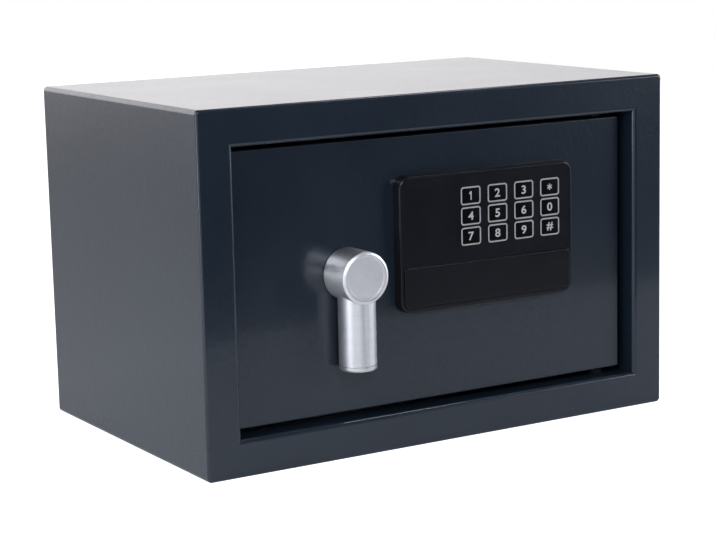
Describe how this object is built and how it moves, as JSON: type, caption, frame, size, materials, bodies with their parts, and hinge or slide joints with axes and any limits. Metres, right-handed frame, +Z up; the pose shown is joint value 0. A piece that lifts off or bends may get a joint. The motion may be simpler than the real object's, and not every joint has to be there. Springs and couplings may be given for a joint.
{
  "type": "electronic home safe",
  "caption": "Small home safe with a keypad, a bar handle, a pivoting inset door, sliding lock bolts and an emergency key lock.",
  "frame": {"origin": "centre of the base, on the surface the safe stands on", "axes": "+Z up, the door faces -Y, +X to the right as seen from the front"},
  "size_m": [0.31, 0.2135, 0.2],
  "materials": {
    "body_paint": "semi-gloss powder coat, fine orange peel",
    "door_paint": "semi-gloss powder coat, fine orange peel",
    "pan_paint": "matt powder coat",
    "mat_felt": "needled felt",
    "handle_metal": "turned and satin brushed",
    "cap_metal": "spun satin face",
    "bolt_chrome": "bright chrome",
    "plated_steel": "zinc plated",
    "black_steel": "black oxide",
    "lock_chrome": "satin chrome",
    "bush_brass": "turned",
    "housing_plastic": "fine moulded grain",
    "overlay_film": "glossy film",
    "key_rubber": "satin key with a light border and plain digit",
    "board_green": "solder mask",
    "dome_film": "clear film",
    "coil_tape": "wound copper under tape",
    "battery_wrap": "printed film sleeve, plain",
    "tray_plastic": "moulded",
    "button_red": "moulded",
    "lead_plastic": "insulated wire",
    "ribbon_grey": "flat ribbon"
  },
  "bodies": {
    "safe_body": {"body_shell": "body_paint", "back_panel": "body_paint", "front_frame": "body_paint", "bolt_keeper": "body_paint", "hinge_brackets": "body_paint", "hinge_washer": "tray_plastic", "floor_mat": "mat_felt"},
    "door": {"door_plate": "door_paint", "hinge_tabs": "door_paint", "hinge_pins": "black_steel", "spindle_bush": "bush_brass", "guide_studs": "plated_steel", "bolt_guide_bracket": "plated_steel", "keypad_housing": "housing_plastic", "keypad_overlay": "overlay_film", "dome_sheet": "dome_film", "keypad_board": "board_green", "housing_screws": "plated_steel", "lock_barrel": "lock_chrome", "lock_nut": "plated_steel", "solenoid_frame": "plated_steel", "solenoid_coil": "coil_tape", "door_pillars": "plated_steel", "control_board": "board_green", "keypad_ribbon": "ribbon_grey", "internal_leads": "lead_plastic", "battery_box": "tray_plastic", "battery_cells": "battery_wrap", "battery_contacts": "plated_steel", "inner_cover": "pan_paint", "cover_screws": "plated_steel"},
    "handle": {"handle_casting": "handle_metal", "handle_face_cap": "cap_metal", "handle_screw": "black_steel", "handle_spindle": "plated_steel", "crank_arm": "plated_steel"},
    "bolt_work": {"bolt_carriage": "plated_steel", "locking_bolts": "bolt_chrome", "bolt_screws": "black_steel"},
    "emergency_lock": {"lock_plug": "lock_chrome", "lock_cam": "plated_steel"},
    "blocking_plunger": {"plunger": "plated_steel", "lift_arm": "plated_steel", "plunger_spring": "plated_steel"},
    "lock_cover": {"key_cover": "housing_plastic"},
    "battery_lid": {"battery_cover": "tray_plastic"},
    "reset": {"reset_button": "button_red"},
    "button_1": {"key_1": "key_rubber"},
    "button_2": {"key_2": "key_rubber"},
    "button_3": {"key_3": "key_rubber"},
    "button_star": {"key_star": "key_rubber"},
    "button_4": {"key_4": "key_rubber"},
    "button_5": {"key_5": "key_rubber"},
    "button_6": {"key_6": "key_rubber"},
    "button_0": {"key_0": "key_rubber"},
    "button_7": {"key_7": "key_rubber"},
    "button_8": {"key_8": "key_rubber"},
    "button_9": {"key_9": "key_rubber"},
    "button_hash": {"key_hash": "key_rubber"}
  },
  "joints": [
    {"name": "door_swing", "type": "hinge", "parent": "safe_body", "child": "door", "pos_m": [0.119, -0.0815, 0.1], "axis": [0, 0, 1], "range_deg": [0, 95]},
    {"name": "handle_turn", "type": "hinge", "parent": "door", "child": "handle", "pos_m": [-0.0617, -0.1, 0.103], "axis": [0, 1, 0], "range_deg": [0, 90]},
    {"name": "carriage_slide", "type": "slide", "parent": "door", "child": "bolt_work", "axis": [-1, 0, 0], "range_m": [0, 0.012]},
    {"name": "key_turn", "type": "hinge", "parent": "door", "child": "emergency_lock", "pos_m": [0.03, -0.1, 0.0907], "axis": [0, 1, 0], "range_deg": [0, 90]},
    {"name": "plunger_slide", "type": "slide", "parent": "door", "child": "blocking_plunger", "axis": [0, 0, -1], "range_m": [0, 0.004], "deforming": ["plunger_spring"]},
    {"name": "key_cover_off", "type": "slide", "parent": "door", "child": "lock_cover", "axis": [0, -1, 0], "range_m": [0, 0.02]},
    {"name": "battery_cover_off", "type": "slide", "parent": "door", "child": "battery_lid", "axis": [0, 1, 0], "range_m": [0, 0.02]},
    {"name": "reset_press", "type": "slide", "parent": "door", "child": "reset", "axis": [0, -1, 0], "range_m": [0, 0.0015], "stiffness_N_per_m": 400},
    {"name": "press_key_1", "type": "slide", "parent": "door", "child": "button_1", "axis": [0, 1, 0], "range_m": [0, 0.0006], "stiffness_N_per_m": 1500},
    {"name": "press_key_2", "type": "slide", "parent": "door", "child": "button_2", "axis": [0, 1, 0], "range_m": [0, 0.0006], "stiffness_N_per_m": 1500},
    {"name": "press_key_3", "type": "slide", "parent": "door", "child": "button_3", "axis": [0, 1, 0], "range_m": [0, 0.0006], "stiffness_N_per_m": 1500},
    {"name": "press_key_star", "type": "slide", "parent": "door", "child": "button_star", "axis": [0, 1, 0], "range_m": [0, 0.0006], "stiffness_N_per_m": 1500},
    {"name": "press_key_4", "type": "slide", "parent": "door", "child": "button_4", "axis": [0, 1, 0], "range_m": [0, 0.0006], "stiffness_N_per_m": 1500},
    {"name": "press_key_5", "type": "slide", "parent": "door", "child": "button_5", "axis": [0, 1, 0], "range_m": [0, 0.0006], "stiffness_N_per_m": 1500},
    {"name": "press_key_6", "type": "slide", "parent": "door", "child": "button_6", "axis": [0, 1, 0], "range_m": [0, 0.0006], "stiffness_N_per_m": 1500},
    {"name": "press_key_0", "type": "slide", "parent": "door", "child": "button_0", "axis": [0, 1, 0], "range_m": [0, 0.0006], "stiffness_N_per_m": 1500},
    {"name": "press_key_7", "type": "slide", "parent": "door", "child": "button_7", "axis": [0, 1, 0], "range_m": [0, 0.0006], "stiffness_N_per_m": 1500},
    {"name": "press_key_8", "type": "slide", "parent": "door", "child": "button_8", "axis": [0, 1, 0], "range_m": [0, 0.0006], "stiffness_N_per_m": 1500},
    {"name": "press_key_9", "type": "slide", "parent": "door", "child": "button_9", "axis": [0, 1, 0], "range_m": [0, 0.0006], "stiffness_N_per_m": 1500},
    {"name": "press_key_hash", "type": "slide", "parent": "door", "child": "button_hash", "axis": [0, 1, 0], "range_m": [0, 0.0006], "stiffness_N_per_m": 1500}
  ],
  "couplings": [
    {"joint": "carriage_slide", "follows": "handle_turn", "m_per_rad": 0.0076394},
    {"joint": "plunger_slide", "follows": "key_turn", "m_per_rad": 0.0025464}
  ]
}
